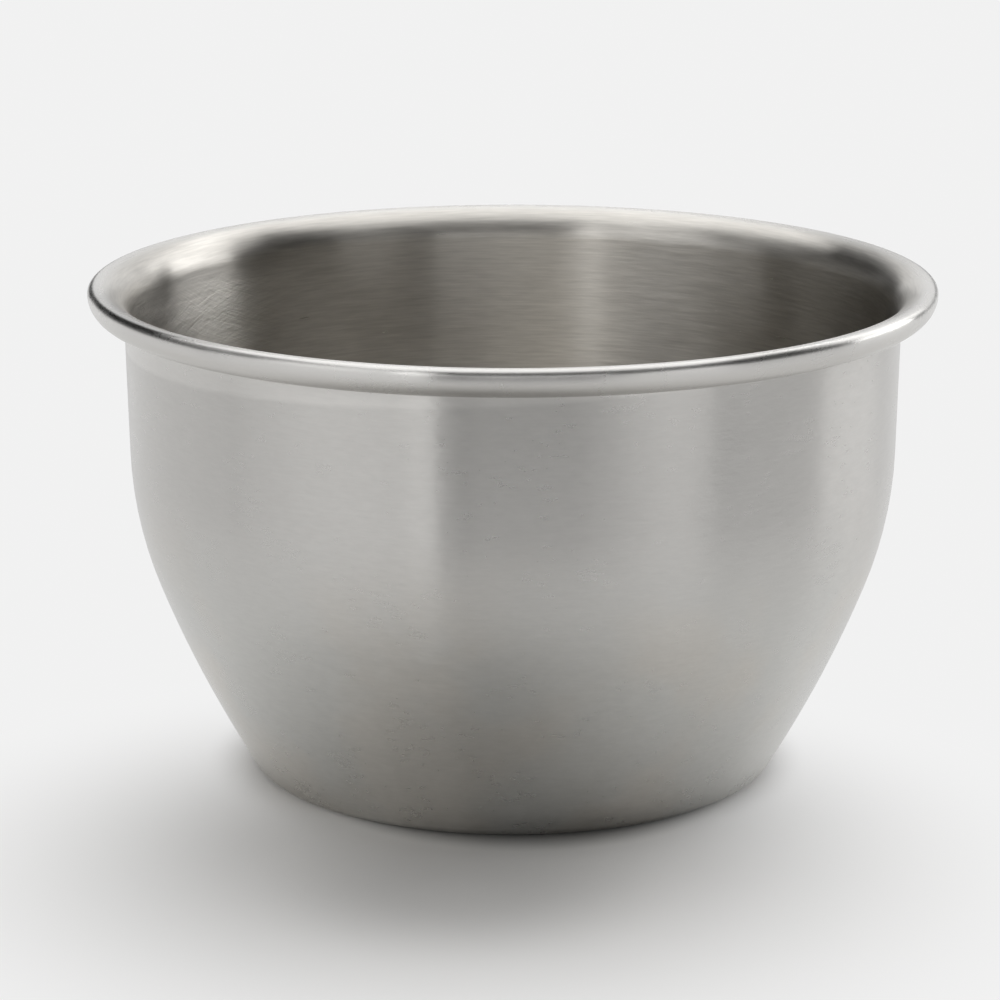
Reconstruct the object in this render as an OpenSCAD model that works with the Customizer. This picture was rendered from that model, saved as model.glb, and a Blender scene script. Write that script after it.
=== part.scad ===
// Prep bowl: one disc of sheet metal, pressed to shape, with a flared and rolled lip.
// Millimetres. Z is up, and the origin is the centre of the base, on the table.

/* [Rim] */
// Outside diameter of the rim, over the rolled lip
rim_d = 120; // [100:1:150]
// Overall height, from the table to the crest of the lip
bowl_h = 70.5; // [60:0.5:90]
// How far the lip stands out past the outside of the upper wall
lip_overhang = 4.95; // [4.2:0.05:7]
// Inside radius of the tight bend at the lip's outer edge
nose_in_r = 0.4; // [0.2:0.05:0.8]
// Outside radius of the last bend, which carries the cut edge up beside the wall
curl_r = 1.5; // [1.1:0.05:1.8]
// Turn of that last bend, in degrees
curl_sweep = 60; // [20:5:70]
// Least gap between the last bend and the wall
curl_gap = 0.25; // [0.1:0.05:0.5]

/* [Wall] */
// Lean of the upper wall, in degrees off upright
wall_lean = 1.3; // [0:0.1:4]
// Height at which the lower and upper walls would meet if the belly were sharp
belly_z = 38; // [30:0.5:48]
// Outside radius of the belly, where the walls blend
belly_r = 56; // [20:1:80]
// Outside radius of the slight bow in the lower wall
lower_r = 170; // [120:5:400]

/* [Base] */
// Diameter at which the lower wall would meet the table if the corner were sharp
base_d = 74; // [60:1:84]
// Outside radius of the corner between the base and the wall
corner_r = 2.4; // [1.2:0.1:6]
// Width of the flat ring that the bowl stands on
base_ring_w = 6; // [2:0.5:12]
// Height by which the middle of the base is pressed up off the table
base_raise = 0.6; // [0.2:0.1:1.5]
// Outside radius of the two soft bends beside the raised middle
base_step_r = 4; // [2:0.5:8]

/* [Sheet] */
// Thickness of the sheet, the same all over
sheet_t = 0.6; // [0.4:0.05:0.9]

/* [Hidden] */

// Fineness of the bends: no facet turns more or is longer than this
facet_angle = 7.5;
facet_length = 1.5;
// Points closer than this are one point
same_point = 0.001;
// Sides of the turned shape
turn_sides = 240;
steel = [0.72, 0.71, 0.69];

// The two faces of the sheet: the outside also faces the table and the inside of the curl
outside = 1;
inside = -1;

// Unit vector at an angle, angle of a vector, and a length of arc
function along(a) = [cos(a), sin(a)];
function angle_of(v) = atan2(v[1], v[0]);
function arc_length(r, sweep) = r * abs(sweep) * PI / 180;

// Centre of a circle of radius r through a and b, to the left of the way from a to b
function centre_through(a, b, r) =
    let (way = b - a, half = norm(way) / 2)
    (a + b) / 2 + [-way[1], way[0]] / norm(way) * sqrt(r * r - half * half);

// Sharp corners of the outside outline, before rounding: at the table and at the belly
rim_r = rim_d / 2;
wall_line_r = rim_r - lip_overhang;
function wall_r_at(z) = wall_line_r - (bowl_h - z) * tan(wall_lean);
base_point = [base_d / 2, 0];
belly_point = [wall_r_at(belly_z), belly_z];

// The bowed lower wall runs through both corners
lower_centre = centre_through(base_point, belly_point, lower_r);

// The corner's circle rests on the table and touches the bow from within
corner_reach = lower_r - corner_r;
corner_rise = lower_centre[1] - corner_r;
corner_x = lower_centre[0] + sqrt(corner_reach * corner_reach - corner_rise * corner_rise);
corner_centre = [corner_x, corner_r];
corner_angle = angle_of(corner_centre - lower_centre);

// The belly's circle touches the upper wall and, from within, the bow
belly_reach = lower_r - belly_r;
wall_way = [sin(wall_lean), cos(wall_lean)];
wall_inward = [-cos(wall_lean), sin(wall_lean)];
belly_start = belly_point + belly_r * wall_inward;
belly_offset = belly_start - lower_centre;
belly_run = belly_offset * wall_way;
belly_excess = belly_offset * belly_offset - belly_reach * belly_reach;
belly_centre = belly_start - (belly_run + sqrt(belly_run * belly_run - belly_excess)) * wall_way;
belly_angle = angle_of(belly_centre - lower_centre);

// The flare rounds the corner between the wall's inside and the height of the crest
nose_r = nose_in_r + sheet_t;
crest_r = rim_r - nose_r;
flare_run = crest_r - wall_line_r + sheet_t / cos(wall_lean);
flare_r = flare_run * cos(wall_lean) / (1 - sin(wall_lean));

// The underside takes what the overhang leaves beside the last bend and its gap
under_r = lip_overhang - curl_gap - curl_r;
under_x = rim_r - under_r;
under_z = bowl_h - nose_r - under_r;

// The step from the raised middle down to the ring is two equal bends, back to back
step_span = 2 * base_step_r - sheet_t;
step_sweep = acos(1 - base_raise / step_span);
ring_x = corner_x - base_ring_w;
raised_x = ring_x - step_span * sin(step_sweep);
raised_z = base_raise + sheet_t - base_step_r;

// Each bend of the sheet: centre, outer radius, first and last angle, and the face that is outermost
bends = [
    [[raised_x, raised_z], base_step_r, 90, 90 - step_sweep, inside],
    [[ring_x, base_step_r], base_step_r, -90 - step_sweep, -90, outside],
    [corner_centre, corner_r, -90, corner_angle, outside],
    [lower_centre, lower_r, corner_angle, belly_angle, outside],
    [belly_centre, belly_r, belly_angle, -wall_lean, outside],
    [[crest_r, bowl_h - flare_r], flare_r, 180 - wall_lean, 90, inside],
    [[crest_r, bowl_h - nose_r], nose_r, 90, 0, inside],
    [[under_x, bowl_h - nose_r], under_r, 0, -90, inside],
    [[under_x, under_z + curl_r], curl_r, -90, -90 - curl_sweep, inside],
];

function bend_sweep(bend) = bend[3] - bend[2];
function bend_steps(bend) = max(
    ceil(abs(bend_sweep(bend)) / facet_angle),
    ceil(arc_length(bend[1], bend_sweep(bend)) / facet_length));
function face_r(bend, face) = face == bend[4] ? bend[1] : bend[1] - sheet_t;

// Points of one face of a bend, in order along the sheet
function bend_points(bend, face) =
    let (steps = bend_steps(bend))
    [for (i = [0:steps]) bend[0] + face_r(bend, face) * along(bend[2] + bend_sweep(bend) * i / steps)];

// One face of the sheet from the axis to the cut edge: its bends, joined by straights
function face_line(face, start) = concat([start], [for (bend = bends) each bend_points(bend, face)]);
function backwards(line) = [for (i = [len(line) - 1:-1:0]) line[i]];
function without_repeats(line) =
    [for (i = [0:len(line) - 1]) if (i == 0 || norm(line[i] - line[i - 1]) > same_point) line[i]];

// Section of the sheet, on one side of the axis
function sheet_section() = without_repeats(concat(
    face_line(outside, [0, base_raise]),
    backwards(face_line(inside, [0, base_raise + sheet_t]))));

// The whole bowl: the section turned about the axis
module bowl() {
    color(steel)
        rotate_extrude($fn = turn_sides)
            polygon(sheet_section());
}

bowl();
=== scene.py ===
from collections import namedtuple
from math import acos, atan2, ceil, cos, degrees, hypot, pi, radians, sin, sqrt, tan

import bpy
import numpy as np
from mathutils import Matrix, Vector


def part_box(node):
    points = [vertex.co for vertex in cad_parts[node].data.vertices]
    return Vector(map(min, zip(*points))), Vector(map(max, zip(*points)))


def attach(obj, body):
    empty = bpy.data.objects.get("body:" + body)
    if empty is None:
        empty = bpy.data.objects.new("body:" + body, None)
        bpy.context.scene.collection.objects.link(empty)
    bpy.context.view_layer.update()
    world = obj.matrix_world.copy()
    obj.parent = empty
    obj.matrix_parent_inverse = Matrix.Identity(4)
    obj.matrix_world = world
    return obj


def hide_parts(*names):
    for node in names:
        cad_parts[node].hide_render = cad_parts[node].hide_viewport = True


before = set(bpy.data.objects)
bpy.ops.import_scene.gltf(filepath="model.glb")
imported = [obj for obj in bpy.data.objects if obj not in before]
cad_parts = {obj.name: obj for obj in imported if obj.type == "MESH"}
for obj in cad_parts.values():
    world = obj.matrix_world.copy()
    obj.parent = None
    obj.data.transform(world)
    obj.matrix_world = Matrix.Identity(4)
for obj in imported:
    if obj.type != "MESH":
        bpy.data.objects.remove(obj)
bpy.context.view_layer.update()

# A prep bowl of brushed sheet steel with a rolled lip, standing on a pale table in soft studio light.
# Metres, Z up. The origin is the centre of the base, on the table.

low_corner, high_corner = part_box("bowl")

# Rim and lip. The rim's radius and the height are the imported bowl's own.
rim_r = min(*high_corner.xy, *-low_corner.xy)
bowl_h = high_corner[2]
lip_overhang = 0.00495
nose_in_r = 0.0004
curl_r = 0.0015
curl_sweep = 60
curl_gap = 0.00025
cut_edge_r = 0.00012

# Wall
wall_lean = 1.3
belly_z = 0.038
belly_r = 0.056
lower_r = 0.170

# Base
base_d = 0.074
corner_r = 0.0024
base_ring_w = 0.006
base_raise = 0.0006
base_step_r = 0.004

# Sheet
sheet_t = 0.0006

# Radii between which the brushed inside turns into the smoother lip
lip_blend_start = 0.0564
lip_blend_end = 0.0588

# Fineness of the mesh
turn_steps = 320
bend_step_angle = 5
bend_step_length = 0.0028
edge_steps = 3
same_point = 1e-6

OUTSIDE, INSIDE = 1, -1
Bend = namedtuple("Bend", "centre radius start end outermost")


def along(angle):
    """The unit vector at an angle in degrees, or at each of an array of angles."""
    turn = np.radians(angle)
    return np.stack([np.cos(turn), np.sin(turn)], axis=-1)


def centre_through(a, b, r):
    """The centre of the circle of radius r through a and b, to the left of the way from a to b."""
    way = b - a
    length = hypot(*way)
    return (a + b) / 2 + np.array([-way[1], way[0]]) / length * sqrt(r * r - length * length / 4)


def angle_of(way):
    return degrees(atan2(way[1], way[0]))


def sheet_bends():
    """The bends of the sheet from the middle of the base to the cut edge inside the lip, each a circle that
    touches the next bend or straight, so the section is smooth: two for the step down from the raised
    middle, then the table corner, the bowed lower wall, the belly below the upright wall, the flare, the
    tight nose of the lip, its underside and the curl that carries the cut edge up."""
    wall_line_r = rim_r - lip_overhang
    base_point = np.array([base_d / 2, 0])
    belly_point = np.array([wall_line_r - (bowl_h - belly_z) * tan(radians(wall_lean)), belly_z])
    lower_centre = centre_through(base_point, belly_point, lower_r)
    corner_rise = lower_centre[1] - corner_r
    corner_x = lower_centre[0] + sqrt((lower_r - corner_r) ** 2 - corner_rise ** 2)
    corner_centre = np.array([corner_x, corner_r])
    corner_angle = angle_of(corner_centre - lower_centre)

    wall_way = along(90 - wall_lean)
    belly_start = belly_point + belly_r * along(180 - wall_lean)
    belly_offset = belly_start - lower_centre
    belly_run = belly_offset @ wall_way
    belly_excess = belly_offset @ belly_offset - (lower_r - belly_r) ** 2
    belly_centre = belly_start - (belly_run + sqrt(belly_run ** 2 - belly_excess)) * wall_way
    belly_angle = angle_of(belly_centre - lower_centre)

    nose_r = nose_in_r + sheet_t
    crest_r = rim_r - nose_r
    lean = radians(wall_lean)
    flare_run = crest_r - wall_line_r + sheet_t / cos(lean)
    flare_r = flare_run * cos(lean) / (1 - sin(lean))
    under_r = lip_overhang - curl_gap - curl_r
    under_x = rim_r - under_r
    under_z = bowl_h - nose_r - under_r
    eased_sweep = degrees(cut_edge_r / (curl_r - sheet_t / 2))

    step_span = 2 * base_step_r - sheet_t
    step_sweep = degrees(acos(1 - base_raise / step_span))
    ring_x = corner_x - base_ring_w
    raised_x = ring_x - step_span * sin(radians(step_sweep))
    raised_z = base_raise + sheet_t - base_step_r
    return [
        Bend((raised_x, raised_z), base_step_r, 90, 90 - step_sweep, INSIDE),
        Bend((ring_x, base_step_r), base_step_r, -90 - step_sweep, -90, OUTSIDE),
        Bend(corner_centre, corner_r, -90, corner_angle, OUTSIDE),
        Bend(lower_centre, lower_r, corner_angle, belly_angle, OUTSIDE),
        Bend(belly_centre, belly_r, belly_angle, -wall_lean, OUTSIDE),
        Bend((crest_r, bowl_h - flare_r), flare_r, 180 - wall_lean, 90, INSIDE),
        Bend((crest_r, bowl_h - nose_r), nose_r, 90, 0, INSIDE),
        Bend((under_x, bowl_h - nose_r), under_r, 0, -90, INSIDE),
        Bend((under_x, under_z + curl_r), curl_r, -90, eased_sweep - 90 - curl_sweep, INSIDE),
    ]


def bend_line(bend, face):
    """Points of one face of a bend and the normals there: centre + r (cos a, sin a) for even steps of a,
    where r is the sheet's outer or inner radius, and the normal points away from the metal."""
    sweep = bend.end - bend.start
    arc = bend.radius * abs(radians(sweep))
    steps = max(ceil(abs(sweep) / bend_step_angle), ceil(arc / bend_step_length))
    ways = along(bend.start + sweep * np.arange(steps + 1) / steps)
    outermost = face == bend.outermost
    r = bend.radius if outermost else bend.radius - sheet_t
    return np.array(bend.centre) + r * ways, ways if outermost else -ways


def straight_line(start, end):
    """Even points between two points, without the two ends themselves."""
    steps = max(1, ceil(hypot(*(end - start)) / bend_step_length))
    share = np.arange(1, steps)[:, None] / steps
    return start + (end - start) * share


def face_line(face, middle):
    """One face of the sheet, from its middle on the axis to the cut edge: bends joined by straights. Where
    a bend starts on the end of the last one, that point is kept once."""
    points, normals = np.array([middle]), np.array([[0.0, -face]])
    for bend in sheet_bends():
        bend_points, bend_normals = bend_line(bend, face)
        straight = straight_line(points[-1], bend_points[0])
        straight_normals = np.repeat(bend_normals[:1], len(straight), axis=0)
        first = int(hypot(*(bend_points[0] - points[-1])) < same_point)
        points = np.concatenate([points, straight, bend_points[first:]])
        normals = np.concatenate([normals, straight_normals, bend_normals[first:]])
    return points, normals


def cut_edge(outside_end, inside_end):
    """The cut edge between the ends of the two faces, its corners eased by quarter circles of cut_edge_r: a
    corner's centre + cut_edge_r times a way that turns from the outside's normal to the edge's in the first,
    and from the edge's to the inside's in the second."""
    across = (inside_end - outside_end) / sheet_t
    forward = np.array([across[1], -across[0]])
    cosine, sine = along(np.linspace(0, 90, edge_steps + 1)).T[:, :, None]
    first = (forward * sine - across * cosine)[1:]
    second = (forward * cosine + across * sine)[:-1]
    first_corner = outside_end + cut_edge_r * across
    second_corner = inside_end - cut_edge_r * across
    points = np.concatenate([first_corner + cut_edge_r * first, second_corner + cut_edge_r * second])
    return points, np.concatenate([first, second])


def sheet_section():
    """The closed section of the sheet: up the outside from the axis, over the cut edge and back down the
    inside to the axis. Gives points, normals, and the zones that the finish reads: the length of the line
    so far, the share of inside, and the share of lip."""
    out_points, out_normals = face_line(OUTSIDE, (0, base_raise))
    in_points, in_normals = face_line(INSIDE, (0, base_raise + sheet_t))
    edge_points, edge_normals = cut_edge(out_points[-1], in_points[-1])
    points = np.concatenate([out_points, edge_points, in_points[::-1]])
    normals = np.concatenate([out_normals, edge_normals, in_normals[::-1]])
    steps = np.hypot(*np.diff(points, axis=0).T)
    out_zone, in_zone = np.zeros(len(out_points)), np.ones(len(in_points))
    edge_zone = np.ones(len(edge_points))
    zones = {
        "sheet_run": np.concatenate([[0], np.cumsum(steps)]),
        "inside_share": np.concatenate([out_zone, edge_zone, in_zone]),
        "lip_share": np.concatenate([out_zone, edge_zone, lip_share(in_points[:, 0])[::-1]]),
    }
    return points, normals, zones


def lip_share(r):
    """How far the sheet has turned from inside wall to lip, for each radius on the way up and over:
    t² (3 − 2t) where t goes from 0 to 1 over the flare. Past the crest it stays 1."""
    t = np.clip((r - lip_blend_start) / (lip_blend_end - lip_blend_start), 0, 1)
    return np.maximum.accumulate(t * t * (3 - 2 * t))


def turned(values, turns):
    """(r, z) rows carried round the axis: (r cos a, r sin a, z) for each angle a in turns."""
    r, z = values[:, 0, None], values[:, 1, None]
    rings = np.stack([r * np.cos(turns), r * np.sin(turns), z + 0 * turns], axis=-1)
    return rings.reshape(-1, 3)


def turned_mesh(name):
    """The section turned about the axis, as a closed mesh with a single point at each pole. Ring i, place j
    is point (r_i cos a_j, r_i sin a_j, z_i). Each face is shaded by the section's own normals."""
    points, normals, zones = sheet_section()
    turns = 2 * pi * np.arange(turn_steps) / turn_steps
    rings = len(points) - 2
    vertices = np.concatenate([
        turned(points[:1], turns[:1]), turned(points[1:-1], turns), turned(points[-1:], turns[:1])])
    vertex_normals = np.concatenate([
        turned(normals[:1], turns[:1]), turned(normals[1:-1], turns), turned(normals[-1:], turns[:1])])

    place = np.arange(turn_steps)
    after = np.roll(place, -1)
    ring_start = 1 + turn_steps * np.arange(rings)[:, None]
    a, b = ring_start[:-1] + place, ring_start[:-1] + after
    quads = np.stack([a, b, b + turn_steps, a + turn_steps], axis=-1).reshape(-1, 4)
    last = len(vertices) - 1
    first_fan = np.stack([np.zeros_like(place), 1 + after, 1 + place], axis=-1)
    last_fan = np.stack([np.full_like(place, last), ring_start[-1] + place, ring_start[-1] + after], axis=-1)

    mesh = bpy.data.meshes.new(name)
    mesh.from_pydata(vertices.tolist(), [], first_fan.tolist() + quads.tolist() + last_fan.tolist())
    for zone, values in zones.items():
        vertex_values = np.concatenate([values[:1], np.repeat(values[1:-1], turn_steps), values[-1:]])
        made = mesh.attributes.new(zone, "FLOAT", "POINT")
        made.data.foreach_set("value", vertex_values.astype(np.float32))
    mesh.shade_smooth()
    mesh.normals_split_custom_set_from_vertices(vertex_normals.tolist())
    return mesh


def link(name, data):
    made = bpy.data.objects.new(name, data)
    bpy.context.scene.collection.objects.link(made)
    return made


bowl = link("bowl_sheet", turned_mesh("bowl_sheet"))
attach(bowl, "root")
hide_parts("bowl")


def fill_inputs(tree, node, values):
    """Each value is set on the node's input of that name or number, or linked to it if it is a socket."""
    for name, value in values.items():
        if isinstance(value, bpy.types.NodeSocket):
            tree.links.new(value, node.inputs[name])
        else:
            node.inputs[name].default_value = value


def add(tree, kind, values, **settings):
    """A new node with the given settings and input values."""
    made = tree.nodes.new(kind)
    for name, setting in settings.items():
        setattr(made, name, setting)
    fill_inputs(tree, made, values)
    return made


def calc(tree, operation, *values):
    return add(tree, "ShaderNodeMath", dict(enumerate(values)), operation=operation).outputs[0]


def vector(tree, operation, *values):
    return add(tree, "ShaderNodeVectorMath", dict(enumerate(values)), operation=operation).outputs[0]


def between(tree, share, low, high):
    """A value that goes from low to high as share goes from 0 to 1."""
    return add(tree, "ShaderNodeMapRange", {"Value": share, "To Min": low, "To Max": high}).outputs[0]


def fade(tree, value, start, end):
    """0 at start and 1 at end, smooth between them and flat beyond."""
    limits = {"Value": value, "From Min": start, "From Max": end}
    return add(tree, "ShaderNodeMapRange", limits, interpolation_type="SMOOTHSTEP").outputs[0]


def colour_between(tree, share, low, high):
    return add(tree, "ShaderNodeMix", {0: share, 6: low, 7: high}, data_type="RGBA").outputs[2]


def attribute(tree, name):
    return add(tree, "ShaderNodeAttribute", {}, attribute_name=name).outputs["Fac"]


def object_place(tree):
    return add(tree, "ShaderNodeTexCoord", {}).outputs["Object"]


def new_group(name, inputs):
    """A shader node group with one output, Value, and the sockets that bring its inputs."""
    tree = bpy.data.node_groups.new(name, "ShaderNodeTree")
    for socket, kind in inputs.items():
        tree.interface.new_socket(socket, in_out="INPUT", socket_type=kind)
    tree.interface.new_socket("Value", in_out="OUTPUT", socket_type="NodeSocketFloat")
    return tree, tree.nodes.new("NodeGroupInput").outputs


def from_group(tree, group, values):
    made = tree.nodes.new("ShaderNodeGroup")
    made.node_tree = group
    fill_inputs(tree, made, values)
    return made.outputs["Value"]


def swing(tree, noise):
    """Noise from 0 to 1 as a value about 0, from -1 to 1."""
    return calc(tree, "MULTIPLY_ADD", noise, 2, -1)


# Octaves of the noise in the strokes and in the patches, and how rough the strokes' own is
stroke_detail, stroke_noise_roughness = 2, 0.6
mottling_detail = 3

# Small pits: the size of the cells they lie in, their radius in cells, and how many cells have none
speck_cell, speck_size = 0.0012, 0.1
speckless_share = 0.996


def make_brush_strokes():
    """Strokes of a brush, about 0: noise that is stretched along one way and fine across it. Way is a unit
    vector that turns with the stroke, and Per Radian is how often the noise changes in one radian of it."""
    tree, given = new_group("brush_strokes", {
        "Way": "NodeSocketVector", "Across": "NodeSocketFloat", "Width": "NodeSocketFloat",
        "Per Radian": "NodeSocketFloat"})
    along_part = vector(tree, "SCALE", given["Way"])
    tree.links.new(given["Per Radian"], along_part.node.inputs["Scale"])
    widths_across = calc(tree, "DIVIDE", given["Across"], given["Width"])
    across_part = add(tree, "ShaderNodeCombineXYZ", {"Z": widths_across}).outputs[0]
    place = vector(tree, "ADD", along_part, across_part)
    noise = add(tree, "ShaderNodeTexNoise", {
        "Vector": place, "Scale": 1, "Detail": stroke_detail, "Roughness": stroke_noise_roughness})
    add(tree, "NodeGroupOutput", {"Value": swing(tree, noise.outputs["Fac"])})
    return tree


def make_mottling():
    """Soft patches, about 0: noise whose largest patches are one over Scale across."""
    tree, given = new_group("mottling", {"Place": "NodeSocketVector", "Scale": "NodeSocketFloat"})
    noise = add(tree, "ShaderNodeTexNoise", {
        "Vector": given["Place"], "Scale": given["Scale"], "Detail": mottling_detail})
    add(tree, "NodeGroupOutput", {"Value": swing(tree, noise.outputs["Fac"])})
    return tree


def make_specks():
    """Small pits and dents: round spots in a few of the cells of a cellular pattern."""
    tree, given = new_group("specks", {"Place": "NodeSocketVector"})
    cells = add(tree, "ShaderNodeTexVoronoi", {"Vector": given["Place"], "Scale": 1 / speck_cell}).outputs
    spot = fade(tree, cells["Distance"], speck_size, speck_size / 2)
    chance = add(tree, "ShaderNodeSeparateColor", {0: cells["Color"]}).outputs[0]
    chosen = calc(tree, "GREATER_THAN", chance, speckless_share)
    add(tree, "NodeGroupOutput", {"Value": calc(tree, "MULTIPLY", spot, chosen)})
    return tree


brush_strokes = make_brush_strokes()
mottling = make_mottling()
specks = make_specks()


def plain_material(name, colour, roughness):
    made = bpy.data.materials.new(name)
    made.use_nodes = True
    shader = made.node_tree.nodes["Principled BSDF"]
    shader.inputs["Base Color"].default_value = (*colour, 1)
    shader.inputs["Roughness"].default_value = roughness
    return made


# Tints of the steel: the outside, its lowest part in two patchy tints that also carry a painted reflection of
# the warm shaded table, the inside, and the lip, painted lighter on top and darker on its underside as light
# and shade, with the heights between which one goes over into the next, and how far from 0 the patches reach
# their full tint
outside_colour = (0.56, 0.549, 0.53, 1)
warm_low_tint_and_reflection = (0.565, 0.546, 0.51, 1)
cool_low_tint_and_reflection = (0.552, 0.548, 0.526, 1)
low_blend_start, low_blend_end = 0.05, 0.022
tint_patch_edge = 0.2
inside_colour = (0.575, 0.555, 0.52, 1)
# The lip's two tints are painted light and shade: lighter on its top, darker on its underside
lit_lip_top_colour = (0.64, 0.63, 0.612, 1)
shaded_lip_under_colour = (0.545, 0.531, 0.506, 1)
lip_under_z, lip_top_z = 0.0672, 0.0697

# Roughness of each part, and how much the patches and the broad strokes change it
outside_roughness = 0.29
inside_roughness = 0.30
lip_roughness = 0.27
patch_roughness, broad_roughness = 0.03, 0.04

# Anisotropy of the finish, with a quarter turn so that the shine spreads up and down the wall
brushed_anisotropy = 0.98
quarter_turn = 0.25

# A painted reflection, a lighter band on the outside just under the lip: the heights between which it comes
# in, its tilt and its lift
reflection_band_low, reflection_band_high = 0.0643, 0.0651
reflection_band_tilt = 0.05
reflection_band_lift = 0.13

# Strokes: the width of one and how often it changes in a radian
Strokes = namedtuple("Strokes", "width per_radian")
fine_outside, fine_inside = Strokes(0.0004, 20), Strokes(0.00036, 10)
broad_outside, broad_inside = Strokes(0.001, 22), Strokes(0.0008, 6)
crossing_strokes = Strokes(0.0004, 9)

# Slants of the crossing strokes, as the ways across them, and how strong the falling ones are
falling_slant, rising_slant = (0, 0.5, 1), (0.2, -0.55, 1)
falling_share = 0.5

# Patches per metre, and how far the strokes wander with the wider ones
patch_scale, wander_scale = 130, 45
level_wander, crossing_wander = 0.0001, 0.0014

# How much of the fine and broad strokes is left on the lip, and of the crossing ones in each part inside
lip_stroke_share = 0.12
scrubbed_crossing, plain_crossing = 1.1, 0.1

# The scrubbed part inside, on the left, which also carries a painted highlight where the key light's glare
# falls: its centre, its soft edge, and the heights between which it ends
scrubbed_glare_centre = (-0.046, 0.0295, 0.061)
scrubbed_glare_inner, scrubbed_glare_outer = 0.007, 0.026
scrubbed_glare_top, scrubbed_glare_end = 0.0615, 0.0665

# How much each pattern lifts the tone of the steel, outside and inside where these differ
fine_lift = (0.045, 0.22)
broad_lift = (0.06, 0.13)
speck_lift = (0.04, 0.3)
crossing_lift = 0.18
# The scrubbed part's lift is a painted highlight, lightening the spot where the key light's glare falls
painted_glare_lift = 0.5
patch_lift = 0.03

# Depth of the fine strokes in metres, and of the other patterns as shares of it
stroke_depth = 0.000006
broad_depth, crossing_depth, speck_depth = 2, 3.5, -0.2


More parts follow.
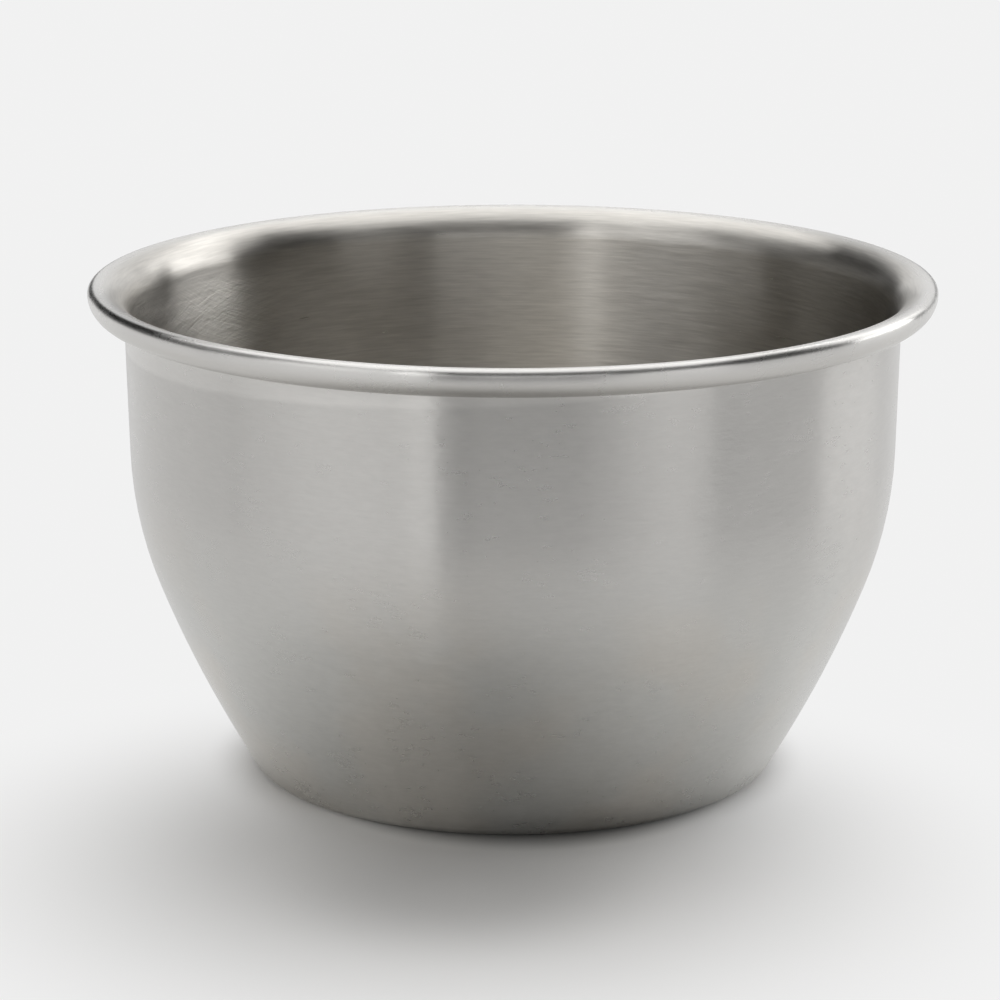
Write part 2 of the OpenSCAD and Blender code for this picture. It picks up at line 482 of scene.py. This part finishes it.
def steel_material():
    """Brushed stainless steel. Fine and broad strokes run round the bowl, short outside and longer inside.
    Slanted strokes cross them inside, most of all where it is scrubbed. The lip is smoother and brighter.
    Painted light: a lighter band under the lip as a painted reflection, a painted highlight where the key
    light's glare falls on the scrubbed part, the lip lighter on top and darker beneath, and the lowest
    outside warmed by a painted reflection of the shaded table."""
    made = bpy.data.materials.new("brushed_steel")
    made.use_nodes = True
    tree = made.node_tree
    place = object_place(tree)
    run, inside, lip = (attribute(tree, zone) for zone in ("sheet_run", "inside_share", "lip_share"))
    height = add(tree, "ShaderNodeSeparateXYZ", {0: place}).outputs["Z"]
    way = vector(tree, "NORMALIZE", vector(tree, "MULTIPLY", place, (1, 1, 0)))

    patches = from_group(tree, mottling, {"Place": place, "Scale": patch_scale})
    wander = from_group(tree, mottling, {"Place": place, "Scale": wander_scale})
    specks_here = from_group(tree, specks, {"Place": place})

    def brushed(strokes, across, wander_length):
        across = calc(tree, "MULTIPLY_ADD", wander, wander_length, across)
        return from_group(tree, brush_strokes, {
            "Way": way, "Across": across, "Width": strokes.width, "Per Radian": strokes.per_radian})

    def level_strokes(outside_strokes, inside_strokes):
        out_value = brushed(outside_strokes, run, level_wander)
        in_value = brushed(inside_strokes, run, level_wander)
        return between(tree, inside, out_value, in_value)

    def slanted_strokes(slant):
        across = vector(tree, "DOT_PRODUCT", place, slant).node.outputs["Value"]
        return brushed(crossing_strokes, across, crossing_wander)

    # Where each pattern lies
    stroke_share = between(tree, lip, 1, lip_stroke_share)
    in_wall = calc(tree, "MULTIPLY", inside, fade(tree, height, scrubbed_glare_end, scrubbed_glare_top))
    # The scrubbed part, with crossing strokes and a painted highlight where the key light's glare falls
    from_scrubbed_glare = vector(tree, "DISTANCE", place, scrubbed_glare_centre).node.outputs["Value"]
    scrubbed_and_glare = calc(tree, "MULTIPLY", fade(tree, from_scrubbed_glare, scrubbed_glare_outer, scrubbed_glare_inner), in_wall)
    crossing_share = calc(
        tree, "MULTIPLY_ADD", scrubbed_and_glare, scrubbed_crossing, calc(tree, "MULTIPLY", in_wall, plain_crossing))
    # Painted reflection: a lighter band on the outside just under the lip
    reflection_band_height = vector(tree, "DOT_PRODUCT", place, (-reflection_band_tilt, 0, 1)).node.outputs["Value"]
    above_line = fade(tree, reflection_band_height, reflection_band_low, reflection_band_high)
    painted_reflection_band = calc(tree, "MULTIPLY", above_line, calc(tree, "SUBTRACT", 1, inside))

    # The strokes
    fine = calc(tree, "MULTIPLY", level_strokes(fine_outside, fine_inside), stroke_share)
    broad = calc(tree, "MULTIPLY", level_strokes(broad_outside, broad_inside), stroke_share)
    crossing = calc(
        tree, "MULTIPLY_ADD", slanted_strokes(falling_slant), falling_share, slanted_strokes(rising_slant))
    crossing = calc(tree, "MULTIPLY", crossing, crossing_share)

    # Tint and tone
    # The lowest outside: warm and cool tints in random patches, warming towards the bottom as a painted
    # reflection of the warm shaded table
    low_tint_and_reflection = colour_between(
        tree, fade(tree, wander, -tint_patch_edge, tint_patch_edge), warm_low_tint_and_reflection, cool_low_tint_and_reflection)
    outside_wall = colour_between(
        tree, fade(tree, height, low_blend_start, low_blend_end), outside_colour, low_tint_and_reflection)
    wall = colour_between(tree, inside, outside_wall, inside_colour)
    # Painted light and shade on the lip: lighter on top, darker on the underside
    lip_tint_with_painted_light = colour_between(tree, fade(tree, height, lip_under_z, lip_top_z), shaded_lip_under_colour, lit_lip_top_colour)
    tint = colour_between(tree, lip, wall, lip_tint_with_painted_light)
    tone = 1
    for pattern, lift in (
            (fine, between(tree, inside, *fine_lift)), (broad, between(tree, inside, *broad_lift)),
            (crossing, crossing_lift), (scrubbed_and_glare, painted_glare_lift), (patches, patch_lift),
            (painted_reflection_band, reflection_band_lift), (specks_here, between(tree, inside, *speck_lift))):
        tone = calc(tree, "MULTIPLY_ADD", pattern, lift, tone)
    shaded = vector(tree, "SCALE", tint)
    tree.links.new(tone, shaded.node.inputs["Scale"])

    # Roughness and relief
    roughness = between(tree, lip, between(tree, inside, outside_roughness, inside_roughness), lip_roughness)
    roughness = calc(tree, "MULTIPLY_ADD", patches, patch_roughness, roughness)
    roughness = calc(tree, "MULTIPLY_ADD", broad, broad_roughness, roughness)
    depth = calc(tree, "MULTIPLY_ADD", broad, broad_depth, fine)
    depth = calc(tree, "MULTIPLY_ADD", crossing, crossing_depth, depth)
    depth = calc(tree, "MULTIPLY_ADD", specks_here, speck_depth, depth)
    bump = add(tree, "ShaderNodeBump", {"Strength": 1, "Distance": stroke_depth, "Height": depth})
    tangent = add(tree, "ShaderNodeTangent", {}, direction_type="RADIAL", axis="Z")

    shader = tree.nodes["Principled BSDF"]
    shader.inputs["Metallic"].default_value = 1
    shader.inputs["Anisotropic"].default_value = brushed_anisotropy
    shader.inputs["Anisotropic Rotation"].default_value = quarter_turn
    tree.links.new(tangent.outputs[0], shader.inputs["Tangent"])
    tree.links.new(shaded, shader.inputs["Base Color"])
    tree.links.new(roughness, shader.inputs["Roughness"])
    tree.links.new(bump.outputs[0], shader.inputs["Normal"])
    return made


bowl.data.materials.append(steel_material())

# The table: its size, its tint at full tone, and how much its soft patches change tone and roughness
table_size = 12.0
table_tone = 0.9
table_tint = (1, 0.99, 0.972)
table_patch_scale = 60
table_patch_lift = 0.006
table_roughness, table_patch_roughness = 0.6, 0.05
table_specular = 0.1

# The even backdrop that the table turns into, past a pool of shadow in front and past the bowl's base
backdrop_level = 0.882
shadow_pool_centre = (-0.008, -0.047, 0)
shadow_pool_inner, shadow_pool_outer = 0.015, 0.0885
base_centre = (-0.001, 0, 0)
base_inner, base_outer = 0.034, 0.044

# Painted shadows: a dark one at the line of contact, and a soft one in front of it
contact_shadow_centre = (0.0015, -0.0125, 0)
contact_shadow_inner, contact_shadow_outer = 0.024, 0.031
contact_shadow_tone = 0.3
soft_shadow_centre = (-0.007, -0.059, 0)
soft_shadow_inner, soft_shadow_outer = 0.006, 0.03
soft_shadow_tone = 0.78


def table_material():
    """A pale smooth table. Near the bowl it is lit and shaded, with a painted shadow at the line of contact
    and a soft painted shadow in front; further off it turns into the even pale backdrop, which only camera,
    mirrored and transmitted rays see."""
    made = bpy.data.materials.new("pale_table")
    made.use_nodes = True
    tree = made.node_tree
    place = object_place(tree)

    def away_from(centre, inner, outer):
        """0 within inner of a centre and 1 past outer, smooth between them."""
        distance = vector(tree, "DISTANCE", place, centre).node.outputs["Value"]
        return fade(tree, distance, inner, outer)

    patches = from_group(tree, mottling, {"Place": place, "Scale": table_patch_scale})
    tone = calc(tree, "MULTIPLY_ADD", patches, table_patch_lift, table_tone)
    out_of_contact = away_from(contact_shadow_centre, contact_shadow_inner, contact_shadow_outer)
    tone = calc(tree, "MULTIPLY", tone, between(tree, out_of_contact, contact_shadow_tone, 1))
    out_of_soft = away_from(soft_shadow_centre, soft_shadow_inner, soft_shadow_outer)
    tone = calc(tree, "MULTIPLY", tone, between(tree, out_of_soft, soft_shadow_tone, 1))
    colour = vector(tree, "SCALE", table_tint)
    tree.links.new(tone, colour.node.inputs["Scale"])
    roughness = calc(tree, "MULTIPLY_ADD", patches, table_patch_roughness, table_roughness)
    shader = tree.nodes["Principled BSDF"]
    shader.inputs["Specular IOR Level"].default_value = table_specular
    tree.links.new(colour, shader.inputs["Base Color"])
    tree.links.new(roughness, shader.inputs["Roughness"])

    far = calc(
        tree, "MULTIPLY",
        away_from(shadow_pool_centre, shadow_pool_inner, shadow_pool_outer),
        away_from(base_centre, base_inner, base_outer))
    rays = add(tree, "ShaderNodeLightPath", {}).outputs
    seen = calc(tree, "ADD", rays["Is Camera Ray"], rays["Is Glossy Ray"])
    seen = calc(tree, "ADD", seen, rays["Is Transmission Ray"])
    backdrop = add(tree, "ShaderNodeEmission", {"Strength": backdrop_level})
    blend = add(tree, "ShaderNodeMixShader", {
        0: calc(tree, "MULTIPLY", far, seen), 1: shader.outputs[0], 2: backdrop.outputs[0]})
    tree.links.new(blend.outputs[0], tree.nodes["Material Output"].inputs["Surface"])
    return made


def stage_sheet(name, corners, material):
    """A flat sheet through its corners, given in order, anticlockwise from above."""
    mesh = bpy.data.meshes.new(name)
    mesh.from_pydata(corners, [], [(0, 1, 2, 3)])
    mesh.materials.append(material)
    return link(name, mesh)


half = table_size / 2
table_corners = [(-half, -half, 0), (half, -half, 0), (half, half, 0), (-half, half, 0)]
floor = stage_sheet("floor", table_corners, table_material())

# A dark flag lies on the table in front. Only its reflection is seen, as the darker front of the lower wall.
flag_z = 0.001
flag_near_y, flag_near_left, flag_near_right = -0.2, -0.069, 0.066
flag_far_y, flag_far_left, flag_far_right = -2, -0.75, 1.25
cloth_colour, cloth_roughness = (0.05, 0.05, 0.05), 0.9
flag_corners = [
    (flag_near_left, flag_near_y, flag_z), (flag_far_left, flag_far_y, flag_z),
    (flag_far_right, flag_far_y, flag_z), (flag_near_right, flag_near_y, flag_z)]
flag = stage_sheet("front_flag", flag_corners, plain_material("dark_cloth", cloth_colour, cloth_roughness))
flag.visible_camera = False

# A nearly dark studio, so that the light comes from the softboxes
studio_level = 0.005
world = bpy.data.worlds.new("studio")
bpy.context.scene.world = world
world.use_nodes = True
world.node_tree.nodes["Background"].inputs["Color"].default_value = (1, 1, 1, 1)
world.node_tree.nodes["Background"].inputs["Strength"].default_value = studio_level

# Softboxes. Azimuth is round from the camera's side towards +X, angles are in degrees, and each box faces the
# bowl's axis at aim_z.
Softbox = namedtuple("Softbox", "name azimuth elevation distance width height radiance shape")
softboxes = [
    Softbox("overhead", 190, 76, 1.02, 1.35, 1.4, 1.64, "RECTANGLE"),
    Softbox("overhead_left", 262, 38, 1.0, 0.5, 0.45, 0.2, "ELLIPSE"),
    Softbox("key", 128, 33, 0.9, 0.42, 0.36, 0.8, "ELLIPSE"),
    Softbox("key_halo", 128, 31, 0.95, 0.85, 0.7, 0.58, "ELLIPSE"),
    Softbox("key_low", 115, 12, 0.95, 0.52, 0.22, 2.8, "RECTANGLE"),
    Softbox("back", 167, 19, 1.0, 1.0, 0.44, 0.94, "RECTANGLE"),
    Softbox("back_high", 172, 40, 1.05, 0.9, 0.3, 0.9, "RECTANGLE"),
    Softbox("sweep_left", 240, 3.5, 1.1, 1.37, 0.2, 0.57, "RECTANGLE"),
    Softbox("left", 309, 12, 0.9, 1.3, 0.32, 0.85, "ELLIPSE"),
    Softbox("left_high", 312, 32, 0.9, 0.72, 0.42, 0.8, "ELLIPSE"),
    Softbox("left_strip", 335, 22, 0.95, 0.14, 0.5, 1.2, "RECTANGLE"),
    Softbox("front", 3, 10, 0.9, 0.72, 0.2, 0.95, "RECTANGLE"),
    Softbox("front_low", 12, 5.5, 0.9, 0.75, 0.16, 0.7, "RECTANGLE"),
    Softbox("right_front", 46, 4.5, 0.9, 0.4, 0.17, 1.15, "ELLIPSE"),
]
aim_z = 0.04


def hang_softbox(box):
    """An area lamp at distance from the bowl's axis at aim_z, turned to face it. Its power is the radiance
    times pi times width times height."""
    lamp = bpy.data.lights.new(box.name, "AREA")
    lamp.shape = box.shape
    lamp.size, lamp.size_y = box.width, box.height
    lamp.energy = box.radiance * pi * box.width * box.height
    azimuth, elevation = radians(box.azimuth), radians(box.elevation)
    made = link(box.name, lamp)
    made.location = (
        box.distance * sin(azimuth) * cos(elevation),
        -box.distance * cos(azimuth) * cos(elevation),
        aim_z + box.distance * sin(elevation))
    made.rotation_euler = (radians(90) - elevation, 0, azimuth)
    made.visible_camera = False
    return made


for box in softboxes:
    hang_softbox(box)

# Camera, at the photograph's viewing angle. The focal length and the column of the bowl's axis are in pixels
# of a picture image_px wide, the pitch in degrees below level.
image_px = 1000
focal_px = 3917.4
axis_px = 512.8
camera_pitch = 14.467
camera_y, camera_z = -0.545, 0.1787
sensor_width = 36
camera_data = bpy.data.cameras.new("camera")
camera_data.sensor_width = sensor_width
camera_data.lens = sensor_width * focal_px / image_px
camera_data.shift_x = (image_px / 2 - axis_px) / image_px
camera = link("camera", camera_data)
camera.location = (0, camera_y, camera_z)
camera.rotation_euler = (radians(90 - camera_pitch), 0, 0)
bpy.context.scene.camera = camera
bpy.context.scene.view_settings.view_transform = "Standard"
